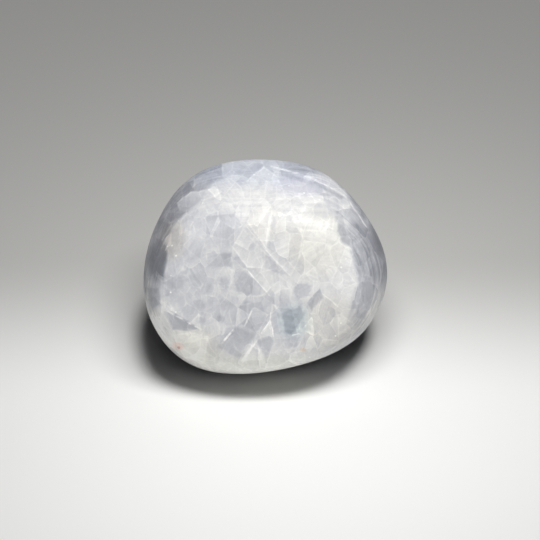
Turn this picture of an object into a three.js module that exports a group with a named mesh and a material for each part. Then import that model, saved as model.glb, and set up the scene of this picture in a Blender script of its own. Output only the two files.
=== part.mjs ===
// A palm-size freeform of blue calcite: one piece of stone, ground and polished by hand to a
// rounded lump that stands on a flat-ground base.
// Millimetres and degrees, +Z up. The base lies on z = 0 under the middle of the stone, the
// broad polished front faces -Y, and +X is to the right of someone looking at that front.
import * as THREE from "three";
import { mergeVertices } from "three/addons/utils/BufferGeometryUtils.js";

// Driving dimensions. Every reach is measured from the stone's heart.
const HEART_HEIGHT = 25; // the heart stands this far above the surface that the stone rests on
const LUMP_CRISPNESS = 7; // 2 would melt the faces into an ellipsoid, 20 would leave sharp edges
const FACET_CRISPNESS = 12; // the front facet meets the lump in a tighter edge
const ROWS_PER_SIDE = 18; // rows of triangles on each face of the starting icosahedron

// The broad front facet, ground flat on a finer wheel after the lump was rounded. Azimuth 0 looks
// at the viewer (-Y), 90 to the right (+X) and 180 away.
const FRONT_FACET = { azimuth: 3, elevation: 37, reach: 24 };

// The rounded faces of the lump, each by the way it looks and how far it lies from the heart.
const LUMP_FACES = {
  base: { azimuth: 0, elevation: -90, reach: 26 },
  crown: { azimuth: 0, elevation: 87, reach: 27.8 },
  right: { azimuth: 88, elevation: -6, reach: 43.5 },
  left: { azimuth: -90, elevation: -10, reach: 39 },
  back: { azimuth: 180, elevation: 10, reach: 33 },
  backRight: { azimuth: 135, elevation: 10, reach: 33 },
  backLeft: { azimuth: -135, elevation: 10, reach: 34 },
  frontRight: { azimuth: 48, elevation: -6, reach: 39 },
  front: { azimuth: -10, elevation: -8, reach: 38 },
  upperRight: { azimuth: 79, elevation: 43, reach: 35 },
  upperLeft: { azimuth: -76, elevation: 37, reach: 36 },
  upperBack: { azimuth: 176, elevation: 52, reach: 39.5 },
  lowerFront: { azimuth: 20, elevation: -48, reach: 32 },
  lowerRight: { azimuth: 75, elevation: -34, reach: 41 },
  lowerLeft: { azimuth: -50, elevation: -30, reach: 40 },
  lowerBackRight: { azimuth: 130, elevation: -30, reach: 34 },
  lowerBackLeft: { azimuth: -130, elevation: -30, reach: 38 },
};

// The unit vector that looks along an azimuth and an elevation.
function lookingAlong(azimuth, elevation) {
  const turn = THREE.MathUtils.degToRad(azimuth);
  const rise = THREE.MathUtils.degToRad(elevation);
  return new THREE.Vector3(
    Math.sin(turn) * Math.cos(rise),
    -Math.cos(turn) * Math.cos(rise),
    Math.sin(rise),
  );
}

// A face as the vector whose product with a direction is that direction's share of the reach.
function pullOf({ azimuth, elevation, reach }) {
  return lookingAlong(azimuth, elevation).divideScalar(reach);
}

// Several pulls as one: the strongest wins, and a lower crispness lets close ones blend.
function blended(pulls, crispness) {
  let total = 0;
  for (const pull of pulls) {
    total += Math.pow(Math.max(0, pull), crispness);
  }
  return Math.pow(total, 1 / crispness);
}

// The stone's surface: an even net of triangles on a ball, drawn out to the rounded faces and
// the front facet. What would reach below the table is ground away, which leaves the flat base.
function polishedSurface() {
  const ball = new THREE.IcosahedronGeometry(1, ROWS_PER_SIDE - 1);
  ball.deleteAttribute("normal");
  ball.deleteAttribute("uv");
  const surface = mergeVertices(ball);
  const facet = pullOf(FRONT_FACET);
  const faces = Object.values(LUMP_FACES).map(pullOf);
  const points = surface.getAttribute("position");
  const point = new THREE.Vector3();
  for (let i = 0; i < points.count; i++) {
    point.fromBufferAttribute(points, i).normalize();
    const lump = blended(faces.map((face) => face.dot(point)), LUMP_CRISPNESS);
    const pull = blended([lump, facet.dot(point)], FACET_CRISPNESS);
    point.divideScalar(pull);
    const height = Math.max(0, point.z + HEART_HEIGHT);
    points.setXYZ(i, point.x, point.y, height);
  }
  return surface;
}

// Moves a geometry sideways until the middle of its box is over the origin.
function centreOverOrigin(geometry) {
  geometry.computeBoundingBox();
  const middle = geometry.boundingBox.getCenter(new THREE.Vector3());
  geometry.translate(-middle.x, -middle.y, 0);
  geometry.computeVertexNormals();
  return geometry;
}

const calcite = new THREE.MeshStandardMaterial({
  color: 0xd2d5db,
  roughness: 0.25,
  metalness: 0,
});

const stone = new THREE.Mesh(centreOverOrigin(polishedSurface()), calcite);
stone.name = "calcite_stone";

const specimen = new THREE.Group();
specimen.add(stone);

export default specimen;
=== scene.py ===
import math

import bpy
from mathutils import Matrix, Vector


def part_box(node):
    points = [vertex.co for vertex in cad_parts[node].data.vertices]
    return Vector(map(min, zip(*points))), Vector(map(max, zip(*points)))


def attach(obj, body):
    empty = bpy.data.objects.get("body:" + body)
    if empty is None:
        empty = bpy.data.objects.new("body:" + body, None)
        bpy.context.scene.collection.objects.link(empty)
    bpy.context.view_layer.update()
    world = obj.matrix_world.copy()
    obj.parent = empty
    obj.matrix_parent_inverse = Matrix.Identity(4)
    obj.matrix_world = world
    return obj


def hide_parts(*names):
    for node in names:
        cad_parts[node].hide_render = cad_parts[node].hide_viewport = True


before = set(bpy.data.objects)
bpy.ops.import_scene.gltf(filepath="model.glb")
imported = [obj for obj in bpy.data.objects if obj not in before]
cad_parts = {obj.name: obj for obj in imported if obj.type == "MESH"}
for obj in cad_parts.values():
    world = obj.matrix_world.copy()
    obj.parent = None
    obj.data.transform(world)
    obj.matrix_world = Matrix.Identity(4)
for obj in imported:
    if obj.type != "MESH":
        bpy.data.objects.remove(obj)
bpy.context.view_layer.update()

# The stone. One lump of blue calcite, ground round on a coarse wheel, flattened in front on a
# finer one, and polished to a soft gloss by hand. It stands on a flat-ground base.
MM = 0.001
NODE = "calcite_stone"
HEART_HEIGHT = 25
LUMP_CRISPNESS = 7
FACET_CRISPNESS = 12
ROWS = 116
MEAN_REACH = 30
WAVE_HEIGHT = 0.12
WAVE_PITCH = 14
# Each face by its azimuth and elevation in degrees and its distance from the heart in millimetres.
FRONT_FACET = (3, 37, 24)
LUMP_FACES = {
    "base": (0, -90, 26),
    "crown": (0, 87, 27.8),
    "right": (88, -6, 43.5),
    "left": (-90, -10, 39),
    "back": (180, 10, 33),
    "back right": (135, 10, 33),
    "back left": (-135, 10, 34),
    "front right": (48, -6, 39),
    "front": (-10, -8, 38),
    "upper right": (79, 43, 35),
    "upper left": (-76, 37, 36),
    "upper back": (176, 52, 39.5),
    "lower front": (20, -48, 32),
    "lower right": (75, -34, 41),
    "lower left": (-50, -30, 40),
    "lower back right": (130, -30, 34),
    "lower back left": (-130, -30, 38),
}


class Wire:
    """A node's output. Sums on wires and numbers lay the Math nodes for them in the same tree."""

    def __init__(self, socket):
        self.socket = socket
        self.tree = socket.id_data

    @staticmethod
    def find(sockets, name):
        if isinstance(name, int):
            return sockets[name]
        return next(s for s in sockets if s.name == name and s.enabled)

    @staticmethod
    def node(tree, kind, settings=None, sockets=None, output=0):
        """Lays a node: its settings first, then the values or links of its sockets."""
        node = tree.nodes.new(kind)
        for name, value in (settings or {}).items():
            if name == "stops":
                ramp = node.color_ramp.elements
                while len(ramp) < len(value):
                    ramp.new(1)
                for element, (position, colour) in zip(ramp, value):
                    element.position = position
                    element.color = (*colour, 1)
            else:
                setattr(node, name, value)
        for name, value in (sockets or {}).items():
            socket = Wire.find(node.inputs, name)
            if isinstance(value, Wire):
                tree.links.new(value.socket, socket)
            else:
                socket.default_value = value
        return Wire(Wire.find(node.outputs, output))

    def maths(self, operation, *sockets):
        settings = {"operation": operation}
        return Wire.node(self.tree, "ShaderNodeMath", settings, dict(enumerate(sockets)))

    def vector(self, operation, *others, output="Vector"):
        settings = {"operation": operation}
        sockets = dict(enumerate((self, *others)))
        return Wire.node(self.tree, "ShaderNodeVectorMath", settings, sockets, output)

    def __add__(self, other):
        return self.maths("ADD", self, other)

    def __sub__(self, other):
        return self.maths("SUBTRACT", self, other)

    def __rsub__(self, other):
        return self.maths("SUBTRACT", other, self)

    def __mul__(self, other):
        return self.maths("MULTIPLY", self, other)

    def __truediv__(self, other):
        return self.maths("DIVIDE", self, other)

    def __rtruediv__(self, other):
        return self.maths("DIVIDE", other, self)

    def __pow__(self, other):
        return self.maths("POWER", self, other)

    __radd__ = __add__
    __rmul__ = __mul__

    def at_least(self, other):
        return self.maths("MAXIMUM", self, other)

    def at_most(self, other):
        return self.maths("MINIMUM", self, other)

    def size(self):
        return self.maths("ABSOLUTE", self)

    def scaled(self, by):
        settings = {"operation": "SCALE"}
        return Wire.node(self.tree, "ShaderNodeVectorMath", settings, {0: self, "Scale": by})

    def parts(self):
        first = Wire.node(self.tree, "ShaderNodeSeparateXYZ", None, {0: self})
        return [Wire(socket) for socket in first.socket.node.outputs]

    def beside(self, name):
        return Wire(Wire.find(self.socket.node.outputs, name))

    def dot(self, direction):
        return self.vector("DOT_PRODUCT", direction, output="Value")

    def fade(self, start, end, low=0, high=1):
        """A soft step from low to high as the value goes from start to end."""
        sockets = {0: self, 1: start, 2: end, 3: low, 4: high}
        settings = {"interpolation_type": "SMOOTHSTEP"}
        return Wire.node(self.tree, "ShaderNodeMapRange", settings, sockets)


def looking_along(azimuth, elevation):
    """The unit vector of a direction. Azimuth 0 is towards the viewer and 90 to the right."""
    turn = math.radians(azimuth)
    rise = math.radians(elevation)
    level = math.cos(rise)
    return Vector((math.sin(turn) * level, -math.cos(turn) * level, math.sin(rise)))


def pull_of(azimuth, elevation, reach):
    """A face as the vector whose product with a direction is its share of the reach."""
    return looking_along(azimuth, elevation) / reach


def blended(pulls, crispness):
    """Several pulls as one: the strongest wins, and a lower crispness lets close ones blend."""
    total = 0
    for pull in pulls:
        total = total + pull.at_least(0) ** crispness
    return total ** (1 / crispness)


def freeform_tree(material):
    """Draws an even net of faces on a ball out to the rounded lump and its front facet."""
    tree = bpy.data.node_groups.new("polished freeform", "GeometryNodeTree")
    numbers = {
        "Rows": "NodeSocketInt",
        "Heart height": "NodeSocketFloat",
        "Lump crispness": "NodeSocketFloat",
        "Facet crispness": "NodeSocketFloat",
        "Wave height": "NodeSocketFloat",
        "Wave pitch": "NodeSocketFloat",
    }
    for name, kind in numbers.items():
        tree.interface.new_socket(name, in_out="INPUT", socket_type=kind)
    tree.interface.new_socket("Stone", in_out="OUTPUT", socket_type="NodeSocketGeometry")
    entry = tree.nodes.new("NodeGroupInput")
    inputs = [Wire(socket) for socket in entry.outputs[:len(numbers)]]
    rows, heart_height, lump_crisp, facet_crisp, wave_height, wave_pitch = inputs

    net = {"Vertices X": rows, "Vertices Y": rows, "Vertices Z": rows}
    ball = Wire.node(tree, "GeometryNodeMeshCube", None, net)
    way = Wire.node(tree, "GeometryNodeInputPosition").vector("NORMALIZE")
    lump = blended([way.dot(pull_of(*face)) for face in LUMP_FACES.values()], lump_crisp)
    pull = blended([lump, way.dot(pull_of(*FRONT_FACET))], facet_crisp)
    ripple = {"Vector": way, "Scale": MEAN_REACH / wave_pitch, "Detail": 1}
    wave = Wire.node(tree, "ShaderNodeTexNoise", None, ripple, "Fac") - 0.5
    reach = 1 / pull + wave * 2 * wave_height
    x, y, z = way.scaled(reach).parts()
    ground = {0: x, 1: y, 2: (z + heart_height).at_least(0)}
    target = Wire.node(tree, "ShaderNodeCombineXYZ", None, ground).scaled(MM)
    moved = {"Geometry": ball, "Position": target}
    rounded = Wire.node(tree, "GeometryNodeSetPosition", None, moved)
    smooth = Wire.node(tree, "GeometryNodeSetShadeSmooth", None, {0: rounded})
    whole = Wire.node(tree, "GeometryNodeRealizeInstances", None, {0: smooth})
    dressed = {"Geometry": whole, "Material": material}
    done = Wire.node(tree, "GeometryNodeSetMaterial", None, dressed)
    leave = tree.nodes.new("NodeGroupOutput")
    tree.links.new(done.socket, leave.inputs[0])
    return tree


def linear(tone):
    """The amount of light behind a tone as the eye sees it, both from 0 to 1."""
    return tone / 12.92 if tone <= 0.04 else ((tone + 0.055) / 1.055) ** 2.4


def colour(*tones):
    return tuple(linear(tone) for tone in tones)


def mixed(first, second, share):
    """Goes from the first value to the second as the share goes from 0 to 1."""
    sockets = {"Factor": share, "A": first, "B": second}
    return Wire.node(share.tree, "ShaderNodeMix", None, sockets, "Result")


def tinted(first, tint, share):
    """A colour with a share of a tint laid over it."""
    settings = {"data_type": "RGBA", "blend_type": "MULTIPLY"}
    sockets = {"Factor": share, "A": first, "B": (*tint, 1)}
    return Wire.node(share.tree, "ShaderNodeMix", settings, sockets, "Result")


def noise(place, pitch, detail=2):
    """Cloudy noise from 0 to 1 whose clouds lie about one pitch apart."""
    sockets = {"Vector": place, "Scale": 1 / pitch, "Detail": detail}
    return Wire.node(place.tree, "ShaderNodeTexNoise", None, sockets, "Fac")


def inside(drawing, corners):
    """How deep a point of the facet lies inside a convex outline, drawn anticlockwise."""
    depth = None
    for start, end in zip(corners, corners[1:] + corners[:1]):
        along = Vector(end) - Vector(start)
        inward = Vector((-along.y, along.x)).normalized()
        side = drawing.dot((inward.x, inward.y, -inward.dot(Vector(start))))
        depth = side if depth is None else depth.at_most(side)
    return depth


def within(drawing, centre, radii):
    """1 in the middle of a soft oval on the facet, 0 outside it."""
    scale = (1 / radii[0], 1 / radii[1], 0)
    offset = (-centre[0] / radii[0], -centre[1] / radii[1], 0)
    from_centre = drawing.vector("MULTIPLY_ADD", scale, offset)
    return from_centre.vector("LENGTH", output="Value").fade(*OVAL_FADE)


def crack(drawing, start, end, width):
    """1 along a fine straight crack, thinning out to 0 at its two ends."""
    run = Vector(end) - Vector(start)
    along = run.normalized()
    off = drawing.dot((-along.y, along.x, along.y * start[0] - along.x * start[1])).size()
    gone = drawing.dot((along.x, along.y, -along.dot(Vector(start))))
    begun = gone.fade(-CRACK_OVERRUN, CRACK_TAPER)
    unfinished = gone.fade(run.length + CRACK_OVERRUN, run.length - CRACK_TAPER)
    ends = begun * unfinished
    return off.fade(width * CRACK_OUTER, width * CRACK_INNER) * ends


calcite = bpy.data.materials.new("blue calcite")
maker = bpy.data.objects.new("maker", bpy.data.meshes.new("maker"))
bpy.context.scene.collection.objects.link(maker)
freeform = maker.modifiers.new("polished freeform", "NODES")
freeform.node_group = freeform_tree(calcite)
values = {
    "Rows": ROWS,
    "Heart height": HEART_HEIGHT,
    "Lump crispness": LUMP_CRISPNESS,
    "Facet crispness": FACET_CRISPNESS,
    "Wave height": WAVE_HEIGHT,
    "Wave pitch": WAVE_PITCH,
}
for item in freeform.node_group.interface.items_tree:
    if item.in_out == "INPUT":
        freeform[item.identifier] = values[item.name]
worked = maker.evaluated_get(bpy.context.evaluated_depsgraph_get())
mesh = bpy.data.meshes.new_from_object(worked)
bpy.data.objects.remove(maker)
low = Vector(map(min, *[v.co for v in mesh.vertices]))
high = Vector(map(max, *[v.co for v in mesh.vertices]))
cad_low, cad_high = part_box(NODE)
shift = (cad_low + cad_high - low - high) / 2
mesh.transform(Matrix.Translation((shift.x, shift.y, 0)))
heart = Vector((shift.x, shift.y, HEART_HEIGHT * MM))

# What shows through the polish: a mosaic of cleavage blocks, clouded white where they are bruised
# and clear blue-grey where they are not, with painted shade and glow laid over it round the rim and
# at the foot. Tones run from 0, black, to 1, white. Places on the front facet are in millimetres
# across and up from the middle of it, and outlines run anticlockwise.
FACET_OUT = looking_along(*FRONT_FACET[:2])
FACET_RIGHT = Vector((-FACET_OUT.y, FACET_OUT.x, 0)).normalized()
FACET_UP = FACET_OUT.cross(FACET_RIGHT)
TONE_COLOURS = {
    0: (0, 0, 0),
    0.6: (0.59, 0.597, 0.626),
    0.73: (0.722, 0.728, 0.748),
    0.8: (0.796, 0.799, 0.813),
    0.86: (0.861, 0.861, 0.861),
    0.93: (0.932, 0.931, 0.926),
    1: (1, 0.998, 0.99),
}
# Round the rim, partly the stone's own darker and paler patches and partly painted light: painted
# shade darkens the edges that turn away from the lamps, and painted glow lightens the lower left foot.
# Middle, radii and change of tone.
RIM_PATCHES_SHADE_AND_GLOW = {
    "left": ((-32, 3), (3.4, 6), -0.24),
    "left shoulder": ((-30.5, 12), (3, 4), -0.1),
    "left foot": ((-33, -20), (6, 7), 0.2),
    "lower left": ((-35, -11), (5, 6), 0.12),
    "upper left": ((-27, 20), (9, 8), -0.1),
    "top left": ((-17, 30), (7, 5), -0.04),
    "back of the crown": ((0, 32), (15, 5), -0.01),
    "upper right": ((18, 24), (9, 6), 0.03),
    "right shoulder": ((25.5, 16), (3.5, 4), 0.08),
    "right of the blot": ((26, 10.4), (2.2, 3), -0.08),
    "top right edge": ((17, 31), (9, 3), -0.1),
    "upper right edge": ((30, 20), (4, 6), -0.2),
    "right edge": ((35, 12), (3.2, 9), -0.24),
    "right": ((33, 3), (7, 9), -0.13),
    "lower right": ((29, -11), (6, 7), 0.01),
    "lower right edge": ((33, -14), (6, 9), 0.1),
}
# The clear oval of the facet, and the clouds in it: middle, radii and tone.
FACE_MIDDLE = (-2.6, -1.5)
FACE_RADII = (28.4, 31.5)
CLOUDS = {
    "upper right": ((14, 8), (15, 13), 0.905),
    "centre": ((6, -2), (10, 6), 0.895),
    "right": ((20, -4), (8, 12), 0.88),
    "crown": ((0, 20), (18, 6), 0.89),
    "upper right edge": ((23, 18), (6, 4), 0.78),
    "left": ((-24, 9), (7, 9), 0.795),
    "lower left edge": ((-28, -7), (5, 7), 0.735),
    "upper left": ((-14, 12), (9, 7), 0.835),
    "lower left": ((-16, -8), (12, 10), 0.825),
    "lower right": ((17, -17), (8, 8), 0.835),
    "over the square": ((-10.6, 5.9), (2.4, 1.6), 0.88),
    "over teal": ((10, -10.8), (2, 1.5), 0.8),
    "right of the crown": ((16, 17), (4, 3), 0.835),
    # Painted glow, in part: the foot is kept paler than the stone's own colour, standing for light
    # bounced up from the card and shining through the stone.
    "foot": ((-6, -32), (28, 9), 0.94),
    "left foot": ((-32, -17), (7, 9), 0.98),
}
# Small clear cells: middle and radii.
CELLS = [
    ((-21.3, -2.3), (2.1, 2.1)),
    ((-12.6, -3.1), (1.4, 1.8)),
    ((-20.4, -9.4), (2.1, 1.5)),
    ((-12.4, -9.7), (2.1, 1.6)),
    ((-6.6, -9.6), (1.6, 1.2)),
    ((-14.2, -13.8), (1.4, 1.2)),
    ((-16.9, -4.7), (1.1, 1.6)),
    ((-25.8, -2.8), (1.2, 2)),
    ((-25.4, -8.2), (1.2, 1.5)),
    ((-19.8, -13.8), (1.6, 1)),
]
# Blocks: tone in the middle, its change per millimetre across and up, softness of the edge, outline.
BLOCKS = {
    "upper left": (0.775, (0, -0.007), 0.6, [
        (-17.9, 10.8), (-11.5, 9), (-6.7, 13.4), (-8.9, 17.3), (-17.7, 16.7),
    ]),
    "apex": (0.865, (0.008, -0.006), 0.15, [
        (-0.3, 6.2), (1.6, 14), (1.9, 17.3), (-4.5, 17.8), (-5.5, 14.2),
    ]),
    "right of apex": (0.86, (0.003, -0.003), 0.2, [
        (-0.3, 6.2), (6.5, -2.2), (9.5, 3.3), (10.7, 9.9), (7.2, 16.2), (1.9, 16.1),
    ]),
    "under the line": (0.825, (-0.005, -0.009), 0.2, [
        (-1.3, 0.7), (2.4, -1.2), (6.5, -2.2), (-0.6, 5.9),
    ]),
    "left of the line": (0.86, (-0.007, -0.008), 0.2, [
        (-10.1, 7.1), (-6, 0.9), (-1.3, 0.7), (-1.4, 6), (-6.7, 12.5),
    ]),
    "house": (0.795, (0.005, 0.002), 0.2, [
        (-10.4, -0.5), (-9.1, -6.9), (-4.5, -7.6), (0.5, -7.2), (-2.3, -3.6), (-5.7, 0.3), (-8, 1.1),
    ]),
    "square": (0.77, (-0.006, 0.003), 0.4, [
        (-17.9, 1.2), (-10.3, 1), (-10.2, 5.6), (-17.7, 5.9),
    ]),
    "left wedge": (0.71, (-0.015, -0.01), 0.3, [
        (-30.2, -10.6), (-28.4, -16.6), (-23.1, -16.9), (-20.2, -16.4), (-28.1, -11),
    ]),
    # Kept pale partly as painted glow, where the lower left edge turns away from the light; its warm tint
    # is the stone's own.
    "warm patch": (0.955, (-0.006, -0.006), 1.4, [
        (-28.5, -18.1), (-25.1, -25.6), (-19.1, -26.6), (-17.9, -18.6), (-23.1, -17.2),
    ]),
    "over the rhomb": (0.76, (0, 0.001), 0.4, [
        (-8.6, -9.8), (-8.5, -15.6), (-3.7, -18.4), (-0.3, -13.9), (-1.9, -8.6),
    ]),
    "rhomb": (0.775, (0, -0.009), 0.2, [
        (-15.7, -21.9), (-8.5, -26), (-5.8, -21.6), (-4, -18.4), (-9.1, -15.9), (-10.9, -16.4),
    ]),
    "white triangle": (0.91, (-0.01, -0.012), 0.15, [
        (-8.5, -26.3), (-2.4, -26.2), (-4, -19.6),
    ]),
    "blue wedge": (0.77, (0, -0.01), 0.2, [
        (-3.7, -20.2), (-1.2, -27.5), (1.2, -20.4), (0.7, -18.9),
    ]),
    "small triangle": (0.86, (0, 0.003), 0.15, [
        (-2.2, -18.5), (0.7, -19.5), (0.2, -14.5),
    ]),
    "left of teal": (0.8, (-0.004, 0.007), 0.3, [
        (1, -8.7), (0.3, -13.9), (1, -19.2), (4.2, -18.4), (3.5, -12.3),
    ]),
    "teal": (0.7, (-0.002, 0.008), 0.5, [
        (3.5, -12.3), (4.2, -18.4), (6.5, -19.1), (9.6, -15.2), (10.5, -12.5), (9.3, -10.6), (6.2, -11.2),
    ]),
    "under teal": (0.805, (-0.009, -0.013), 0.4, [
        (0.6, -23.9), (8.2, -23), (8.9, -19.5), (1.5, -19.8),
    ]),
    "light triangle": (0.87, (0.02, -0.01), 0.15, [
        (9.5, -17.6), (12.7, -19.6), (12.4, -14.3),
    ]),
    "dark block": (0.735, (0.02, -0.007), 0.25, [
        (11.2, -9.7), (12.4, -12.2), (16.2, -8.6), (15, -5.7),
    ]),
    "lens": (0.745, (0, 0.015), 0.4, [
        (-26, 21), (-25.1, 18), (-22.7, 18.1), (-18.2, 21.3), (-16.6, 24.3), (-22, 24),
    ]),
    "under the lens": (0.61, (0, 0), 0.4, [
        (-30.4, 15.5), (-28.2, 14.5), (-25.1, 15.8), (-22.7, 18.1), (-28.8, 18.2),
    ]),
    "claw": (0.88, (0, 0), 0.3, [
        (-16.6, 24.3), (-14.6, 22.1), (-12.4, 23.5), (-14.8, 25.5),
    ]),
    "blade": (0.68, (0, 0), 0.3, [
        (25.2, 12.2), (26.9, 5.6), (28.4, -0.9), (29.4, -7.4), (30, -0.9), (28.7, 5), (26.7, 10.4),
    ]),
    "lower left band": (0.72, (0, -0.01), 0.8, [
        (-36, -4), (-34.5, -11), (-31, -9), (-31.4, -3.6),
    ]),
    # Painted shade: a darker band down the right side, where the stone turns away from the lamps.
    "right shade band": (0.7, (0, 0), 0.5, [
        (25, -14.8), (28.5, -15.5), (31, -9), (31, -3), (28.5, -2),
    ]),
    "blot": (0.7, (0, 0.004), 0.5, [
        (20.7, 10.5), (22, 7.3), (24.4, 6), (25.1, 8), (23.3, 12.2), (21.3, 13.5),
    ]),
    "blue roof": (0.78, (-0.002, 0.003), 0.25, [
        (-12.2, 28.6), (-6.8, 28.7), (0.8, 29.8), (0.2, 34), (-6.5, 35), (-12.1, 34),
    ]),
    "crest": (0.87, (0, 0), 0.5, [
        (-5.5, 26.5), (6.5, 26), (0.6, 31.5),
    ]),
    "lavender": (0.815, (0, 0), 1, [
        (5.5, 23.5), (12, 21.8), (19, 22.5), (17, 25.2), (10, 28), (4, 27.8),
    ]),
    "round cell": (0.795, (0.006, 0), 0.4, [
        (6.9, -6.6), (8.6, -8.9), (11.4, -8.6), (13, -6.2), (11.6, -3.9), (8.4, -4),
    ]),
}
# White cracks: start, end, width and tone.
FRACTURES = {
    "long line, upper end": ((-5.7, 13.1), (-0.5, 6.1), 0.12, 0.9),
    "long line": ((-0.5, 6.1), (6.2, -1.6), 0.16, 0.94),
    "apex": ((-0.5, 6.6), (1.2, 16), 0.14, 0.94),
    "house": ((-5.7, 0), (0.7, -7.6), 0.15, 0.93),
    "slash": ((-14.1, -20.9), (-10.4, -16.9), 0.25, 1),
    "over the small triangle": ((0.4, -12), (0.3, -15.1), 0.12, 0.92),
    "small triangle, left": ((0.3, -14.5), (-2.5, -18.5), 0.15, 0.97),
    "small triangle, right": ((0.3, -14.5), (1.2, -19.4), 0.15, 0.97),
    "white triangle": ((-3.5, -20), (-8.2, -27), 0.2, 1),
    "right": ((15.7, -7.2), (21.8, -12.6), 0.18, 0.93),
    "left wedge": ((-30.4, -10.4), (-19.4, -16.9), 0.25, 0.87),
    "left of the rhomb": ((-11.8, -10.8), (-10.9, -15.2), 0.2, 0.88),
    "over the rhomb": ((-4.9, -11.5), (-7.4, -16.3), 0.2, 0.88),
    "teal": ((6.4, -19.2), (8.8, -18.8), 0.2, 0.95),
    "crown": ((5.8, 20.6), (15, 21.6), 0.2, 0.9),
    "light triangle, left": ((9.6, -17.6), (12.5, -14), 0.15, 0.93),
    "light triangle, right": ((12.5, -14), (12.9, -19.4), 0.15, 0.95),
    "roof edge, top": ((2.5, 31.4), (14.3, 27.5), 0.3, 0.91),
    "roof edge, middle": ((13.8, 27.7), (24.6, 21.4), 0.3, 0.9),
    "roof edge, right": ((24.4, 21.6), (30.6, 11.5), 0.25, 0.86),
    "under the roof edge": ((6.8, 28.3), (17.1, 24.9), 0.6, 0.73),
    "under the roof edge, right": ((16.8, 25), (23.8, 20.6), 0.6, 0.71),
}
# Stains and clear colours: middle, radii and tint.
TINTS = {
    "blue crown": ((-4, 31), (22, 6), (0.96, 0.974, 1)),
    "lavender": ((11, 25), (9, 3.5), (0.97, 0.972, 1)),
    "teal": ((7, -15), (5, 5), (0.965, 0.994, 1)),
    "warm foot": ((-22, -22), (8, 6), (1, 0.995, 0.975)),
    "warm apex": ((0, 14), (7, 5), (1, 0.996, 0.985)),
    "warm right": ((15, 8), (9, 10), (1, 0.996, 0.978)),
    "warm lower right": ((18, -16), (9, 8), (1, 0.994, 0.976)),
    "warm edge": ((-4, -31), (24, 6), (1, 1, 0.982)),
    "brown edge": ((-27.5, 10), (4, 6), (1, 0.985, 0.96)),
    "rust": ((-27, -21.6), (2, 1.4), (1, 0.94, 0.935)),
    "rust speck": ((-26.6, -22.1), (0.45, 0.45), (0.88, 0.76, 0.75)),
    "orange speck": ((9.7, -23.6), (1, 0.6), (1, 0.95, 0.9)),
}
# How the pattern is laid. Pitches, sizes, widths and depths are in millimetres, the rest are shares
# or steps of tone, and a pair called a fade is where a soft step starts and ends.
OVAL_FADE = (1.35, 0.55)
CRACK_OVERRUN = 0.3
CRACK_TAPER = 0.6
CRACK_OUTER = 1.8
CRACK_INNER = 0.4
STIR_PITCH = 2.5
BLOCK_SWAY = 0.7
DRAWING_SWAY = 0.5
SHARD_TURN = (0.5, 0.3, 0.8)
SHARD_STRETCH = (1, 0.6, 0.8)
LAYERS_PER_BLOCK = 12
BREAK_PITCH = 1.8
BREAK_FADE = (0.3, 0.6, 0.2, 1)
BIG_BLOCK = 11
STREAKS_PER_MM = 0.8
STREAK_STEP = 3
STREAK_SWAY_PITCH = 9
STREAK_PATCH_PITCH = 16
STREAK_PATCH_FADE = (0.4, 0.6, 0.35, 1)
BARE_TONE = 0.74
BARE_STEP = 0.1
BARE_LEAN = 0.12
BARE_STREAKS = 0.4
FACE_TONE = 0.825
FACE_STEP = 0.02
FACE_LEAN = 0.04
FACE_STREAKS = 0.16
FACE_STREAK_FADE = (23, 16)
CLOUD_COVER = 0.8
BRUSH_TURN = (0, 0, 0.15)
BRUSH_STRETCH = (0.1, 0.9, 1)
BRUSH_PLACE = ((4, 17), (21, 9))
BRUSH_STEP = 0.16
CELL_TONE = 0.77
CELL_COVER = 0.85
RIM_PITCH = 7
RIM_WANDER = 0.15
RIM_FADE = (0.955, 1.025)
RIM_FOOT_FADE = (-26, -12)
BLOCK_COVER = 0.92
BORDER_INSET = 0.2
BORDER_WIDTH = 0.5
BORDER_LIFT = 0.045
# White specks on the oval's edge, partly bruises and partly painted glints of light on small pits.
BRUISE_GLINT_PITCH = 1.5
BRUISE_GLINT_EDGE_FADE = (0.28, 0.1)
BRUISE_GLINT_CHANCE_FADE = (0.86, 0.9)
BRUISE_GLINT_RING_FADES = ((0.8, 0.88), (1.0, 0.97))
BRUISE_GLINT_TONE = 0.98
FRONT_TILT = 0.3
FRONT_FADE = (0, 7)
SHARDS = {4.2: (0.045, 0.09, 0.09), 1.7: (0.03, 0.05, 0.04)}
SEAM_BLOCK = 4.2
SEAM_WIDTH = 0.25
SEAM_SHARPNESS = 8
SEAM_LIFT = 0.035
VEIL_PITCH = 9
VEIL_FADE = (0.03, 0)
VEIL_LIFT = 0.015
BACK_LIFT = 0.09
FRONT_SHARDS = 0.85
GRAIN_PITCH = 0.6
GRAIN_STEP = 0.06
# The painted shade at the hidden foot: where it fades in behind the facet and up from the bottom, and how
# much it darkens.
UNDERSIDE_SHADE_OUT_FADE = (6, -2)
UNDERSIDE_SHADE_HEIGHT_FADE = (-12, -19)
UNDERSIDE_SHADE_DROP = 0.55
SURFACE = {
    "Roughness": 0.5,
    "Specular IOR Level": 0.3,
    "Subsurface Weight": 1,
    "Subsurface Radius": (1, 1, 1),
    "Subsurface Scale": 0.012,
}

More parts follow.
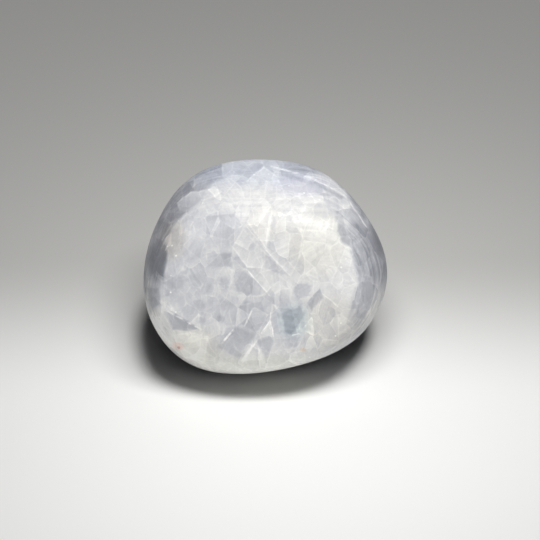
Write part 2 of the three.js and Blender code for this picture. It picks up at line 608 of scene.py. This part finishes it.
calcite.use_nodes = True
paint = calcite.node_tree
object_place = Wire.node(paint, "ShaderNodeTexCoord", None, None, "Object")
spot = object_place.vector("MULTIPLY_ADD", (1 / MM, 1 / MM, 1 / MM), -heart / MM)
across = spot.dot(FACET_RIGHT)
up = spot.dot(FACET_UP)
out = spot.dot(FACET_OUT)
swirls = {"Vector": spot, "Scale": 1 / STIR_PITCH, "Detail": 2}
stir = Wire.node(paint, "ShaderNodeTexNoise", None, swirls, "Color")
swayed = stir.vector("MULTIPLY_ADD", (BLOCK_SWAY, BLOCK_SWAY, BLOCK_SWAY), spot)
turned = {"Vector": swayed, "Rotation": SHARD_TURN, "Scale": SHARD_STRETCH}
slanted = Wire.node(paint, "ShaderNodeMapping", None, turned, "Vector")
flat_place = {0: across - DRAWING_SWAY / 2, 1: up - DRAWING_SWAY / 2, 2: 1}
flat = Wire.node(paint, "ShaderNodeCombineXYZ", None, flat_place)
drawing = stir.vector("MULTIPLY_ADD", (DRAWING_SWAY, DRAWING_SWAY, 0), flat)


def mosaic(place, size):
    """Blocks of about one size: a number from 0 to 1 for each block, its lean across itself, and
    the fine layers in it."""
    cells = {"Vector": place, "Scale": 1 / size}
    chance = Wire.node(paint, "ShaderNodeTexVoronoi", None, cells, "Color")
    way = chance.vector("SUBTRACT", (0.5, 0.5, 0.5))
    lean = place.vector("SUBTRACT", chance.beside("Position")).dot(way) / size
    leaves = {"W": place.dot(way), "Scale": LAYERS_PER_BLOCK / size, "Detail": 3}
    layers = Wire.node(paint, "ShaderNodeTexNoise", {"noise_dimensions": "1D"}, leaves, "Fac")
    return chance.parts()[0] - 0.5, lean, layers - 0.5


def seams(place, size, width):
    """1 along the borders between blocks of a size, 0 inside them."""
    cells = {"Vector": place, "Scale": 1 / size}
    settings = {"feature": "DISTANCE_TO_EDGE"}
    gap = Wire.node(paint, "ShaderNodeTexVoronoi", settings, cells, "Distance")
    return gap.fade(width / size, width / size / SEAM_SHARPNESS)


# The parts of the pattern, from the back to the front: layers seen edge-on round the rim, with painted
# shade and glow laid on it, the clear oval with its clouds and cells, the blocks, the cracks, and a few
# white specks along the oval's edge, partly bruises and partly painted glints.
broken = noise(spot, BREAK_PITCH).fade(*BREAK_FADE)
big_chance, big_lean = mosaic(swayed, BIG_BLOCK)[:2]
layer = out * STREAKS_PER_MM + big_chance * STREAK_STEP + noise(spot, STREAK_SWAY_PITCH)
bands = {"W": layer, "Scale": 1, "Detail": 4, "Roughness": 0.7}
streaks = Wire.node(paint, "ShaderNodeTexNoise", {"noise_dimensions": "1D"}, bands, "Fac") - 0.5
edge_on = streaks * noise(spot, STREAK_PATCH_PITCH).fade(*STREAK_PATCH_FADE)
bare = BARE_TONE + big_chance * BARE_STEP + big_lean * BARE_LEAN + edge_on * BARE_STREAKS
side = bare
# Painted shade and glow round the rim, laid over the stone's own side tone.
for centre, radii, change in RIM_PATCHES_SHADE_AND_GLOW.values():
    side = side + within(flat, centre, radii) * change
face = FACE_TONE + big_chance * FACE_STEP + big_lean * FACE_LEAN
face = face + edge_on * out.fade(*FACE_STREAK_FADE) * FACE_STREAKS
for centre, radii, level in CLOUDS.values():
    face = mixed(face, level, within(drawing, centre, radii) * CLOUD_COVER)
strokes = {"Vector": flat, "Rotation": BRUSH_TURN, "Scale": BRUSH_STRETCH}
brushed = Wire.node(paint, "ShaderNodeMapping", None, strokes, "Vector")
face = face + (noise(brushed, 1, 4) - 0.5) * within(flat, *BRUSH_PLACE) * BRUSH_STEP
for centre, radii in CELLS:
    face = mixed(face, CELL_TONE, within(drawing, centre, radii) * CELL_COVER)
from_middle = flat.vector("SUBTRACT", (*FACE_MIDDLE, 1)).vector("DIVIDE", (*FACE_RADII, 1))
wander = (noise(spot, RIM_PITCH) - 0.5) * RIM_WANDER
ring = from_middle.vector("LENGTH", output="Value") + wander
rim = ring.fade(*RIM_FADE) * up.fade(*RIM_FOOT_FADE)
drawn = mixed(face, side, rim)
for level, (lean_across, lean_up), softness, corners in BLOCKS.values():
    middle_across = sum(a for a, b in corners) / len(corners)
    middle_up = sum(b for a, b in corners) / len(corners)
    start = level - lean_across * middle_across - lean_up * middle_up
    block_tone = drawing.dot((lean_across, lean_up, start))
    depth = inside(drawing, corners)
    drawn = mixed(drawn, block_tone, depth.fade(-softness, softness, 0, BLOCK_COVER))
    border = (depth - BORDER_INSET).size().fade(BORDER_WIDTH, 0, 0, BORDER_LIFT)
    drawn = drawn + border * broken
for start, end, width, level in FRACTURES.values():
    drawn = mixed(drawn, level, crack(drawing, start, end, width) * broken)
# Painted glints and bruises: sparse white specks round the edge of the oval.
pits = {"Vector": spot, "Scale": 1 / BRUISE_GLINT_PITCH}
speck_cells = Wire.node(paint, "ShaderNodeTexVoronoi", None, pits, "Distance")
picked = speck_cells.beside("Color").parts()[0].fade(*BRUISE_GLINT_CHANCE_FADE)
bruise_and_glint = speck_cells.fade(*BRUISE_GLINT_EDGE_FADE) * picked
for ring_fade in BRUISE_GLINT_RING_FADES:
    bruise_and_glint = bruise_and_glint * ring.fade(*ring_fade)
drawn = mixed(drawn, BRUISE_GLINT_TONE, bruise_and_glint)

# Over all of it lie the small shards with their pale seams, thin veils and a fine grain.
shards = 0
for size, (by_chance, by_lean, by_layers) in SHARDS.items():
    chance, lean, layers = mosaic(slanted, size)
    shards = shards + chance * by_chance + lean * by_lean + layers * by_layers
shards = shards + seams(slanted, SEAM_BLOCK, SEAM_WIDTH) * broken * SEAM_LIFT
veil = (noise(spot, VEIL_PITCH, 4) - 0.5).size().fade(*VEIL_FADE) * broken
front = spot.dot(FACET_OUT + FACET_UP * FRONT_TILT).fade(*FRONT_FADE)
tone = mixed(bare + BACK_LIFT + shards, drawn + shards * FRONT_SHARDS, front) + veil * VEIL_LIFT
tone = tone + (noise(spot, GRAIN_PITCH, 4) - 0.5) * GRAIN_STEP
# Painted shade: the hidden foot, low down behind the front facet, is made darker so it sends less light
# onto the table under the stone; from behind it shows as a dark band at the foot.
underside_shade = out.fade(*UNDERSIDE_SHADE_OUT_FADE) * spot.parts()[2].fade(*UNDERSIDE_SHADE_HEIGHT_FADE)
tone = tone - underside_shade * UNDERSIDE_SHADE_DROP

ramp = {"stops": [(level, colour(*tones)) for level, tones in TONE_COLOURS.items()]}
shown = Wire.node(paint, "ShaderNodeValToRGB", ramp, {0: tone}, "Color")
for centre, radii, tint in TINTS.values():
    shown = tinted(shown, colour(*tint), within(drawing, centre, radii))
shader = paint.nodes["Principled BSDF"]
paint.links.new(shown.socket, shader.inputs["Base Color"])
for name, value in SURFACE.items():
    shader.inputs[name].default_value = value

stone = bpy.data.objects.new("polished_stone", mesh)
bpy.context.scene.collection.objects.link(stone)
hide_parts(NODE)
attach(stone, "root")

# The table. A wide sheet of matt card, cut from the roll and laid flat. It is white under the stone,
# and towards the back it is painted grey as painted shade, for a backdrop that the lamps light less.
# Lengths are in metres.
SHEET_RADIUS = 4
PALE = (0.84, 0.84, 0.825)
BACK_SHADE_GREY = (0.51, 0.506, 0.49)
BACK_SHADE_FADE = (-0.035, 0.04)
CARD_ROUGHNESS = 0.8
CARD_GLOSS = 0.1
card = bpy.data.materials.new("pale card")
card.use_nodes = True
card_place = Wire.node(card.node_tree, "ShaderNodeTexCoord", None, None, "Object")
card_back = Wire.node(card.node_tree, "ShaderNodeSeparateXYZ", None, {0: card_place}, "Y")
shading = {"Factor": card_back.fade(*BACK_SHADE_FADE), "A": (*PALE, 1), "B": (*BACK_SHADE_GREY, 1)}
card_colour = Wire.node(card.node_tree, "ShaderNodeMix", {"data_type": "RGBA"}, shading, "Result")
paper = card.node_tree.nodes["Principled BSDF"]
card.node_tree.links.new(card_colour.socket, paper.inputs["Base Color"])
paper.inputs["Roughness"].default_value = CARD_ROUGHNESS
paper.inputs["Specular IOR Level"].default_value = CARD_GLOSS
sheet_corners = [(-SHEET_RADIUS, -SHEET_RADIUS), (SHEET_RADIUS, -SHEET_RADIUS)]
sheet_corners += [(-x, -y) for x, y in sheet_corners]
sheet = bpy.data.meshes.new("table")
sheet.from_pydata([(x, y, 0) for x, y in sheet_corners], [], [(0, 1, 2, 3)])
sheet.materials.append(card)
table = bpy.data.objects.new("table", sheet)
bpy.context.scene.collection.objects.link(table)

# The light. Plain soft studio lamps, each by its place, its width and depth in metres, and its watts.
# One overhead and two weak panels, low in front and behind, are shaded from the table. A near lamp
# and a broad faint sun, both overhead, light the table and cast the shadow.
STONE_LAMPS = {
    "overhead": ((0.18, -0.19, 1.2), (0.4, 0.4), 16.2),
    "front panel": ((-0.24, -0.56, 0.03), (0.4, 0.4), 0.68),
    "back panel": ((0.1, 0.6, 0.06), (0.4, 0.4), 0.4),
}
TABLE_LAMPS = {"near": ((0.022, -0.048, 0.2), (0.12, 0.045), 0.285)}
SKY_TILT = (9, 9, 0)
SKY_SPREAD = 14
SKY_LIGHT = 1.4
ROOM_COLOUR = (0.01, 0.01, 0.011, 1)


def hang(lamp, lit, turn):
    """Hangs a lamp that lights one object alone, in which every object casts a shadow."""
    group = bpy.data.collections.new(lamp.name)
    group.objects.link(lit)
    holder = bpy.data.objects.new(lamp.name, lamp)
    holder.rotation_euler = turn
    holder.light_linking.receiver_collection = group
    bpy.context.scene.collection.objects.link(holder)
    return holder


for lamps, lit in ((STONE_LAMPS, stone), (TABLE_LAMPS, table)):
    for name, (place, (width, depth), power) in lamps.items():
        x, y, z = place
        lamp = bpy.data.lights.new(name, "AREA")
        lamp.shape = "ELLIPSE"
        lamp.size = width
        lamp.size_y = depth
        lamp.energy = power
        turn = (math.atan2(-y, z), math.atan2(x, math.hypot(y, z)), 0)
        hang(lamp, lit, turn).location = place
sky = bpy.data.lights.new("broad", "SUN")
sky.angle = math.radians(SKY_SPREAD)
sky.energy = SKY_LIGHT
hang(sky, table, [math.radians(turn) for turn in SKY_TILT])
room = bpy.data.worlds.new("room")
room.use_nodes = True
room.node_tree.nodes["Background"].inputs["Color"].default_value = ROOM_COLOUR
bpy.context.scene.world = room
bpy.context.scene.view_settings.view_transform = "Standard"

# The camera. It looks down at the broad front facet from straight ahead, from a little under half a
# metre away, and its picture is 540 pixels wide, with the stone's middle near the middle of it.
VIEW_ELEVATION = 38
VIEW_DISTANCE = 0.42
PICTURE_PIXELS = 540
PIXELS_PER_MM = 3.24
VIEW_WIDTH = PICTURE_PIXELS / PIXELS_PER_MM * MM
AIM = Vector((1.7 * MM, 0, 24.6 * MM)) + Vector((shift.x, shift.y, 0))
eye = bpy.data.cameras.new("camera")
eye.lens = eye.sensor_width * VIEW_DISTANCE / VIEW_WIDTH
camera = bpy.data.objects.new("camera", eye)
camera.location = AIM + looking_along(0, VIEW_ELEVATION) * VIEW_DISTANCE
camera.rotation_euler = (math.radians(90 - VIEW_ELEVATION), 0, 0)
bpy.context.scene.collection.objects.link(camera)
bpy.context.scene.camera = camera
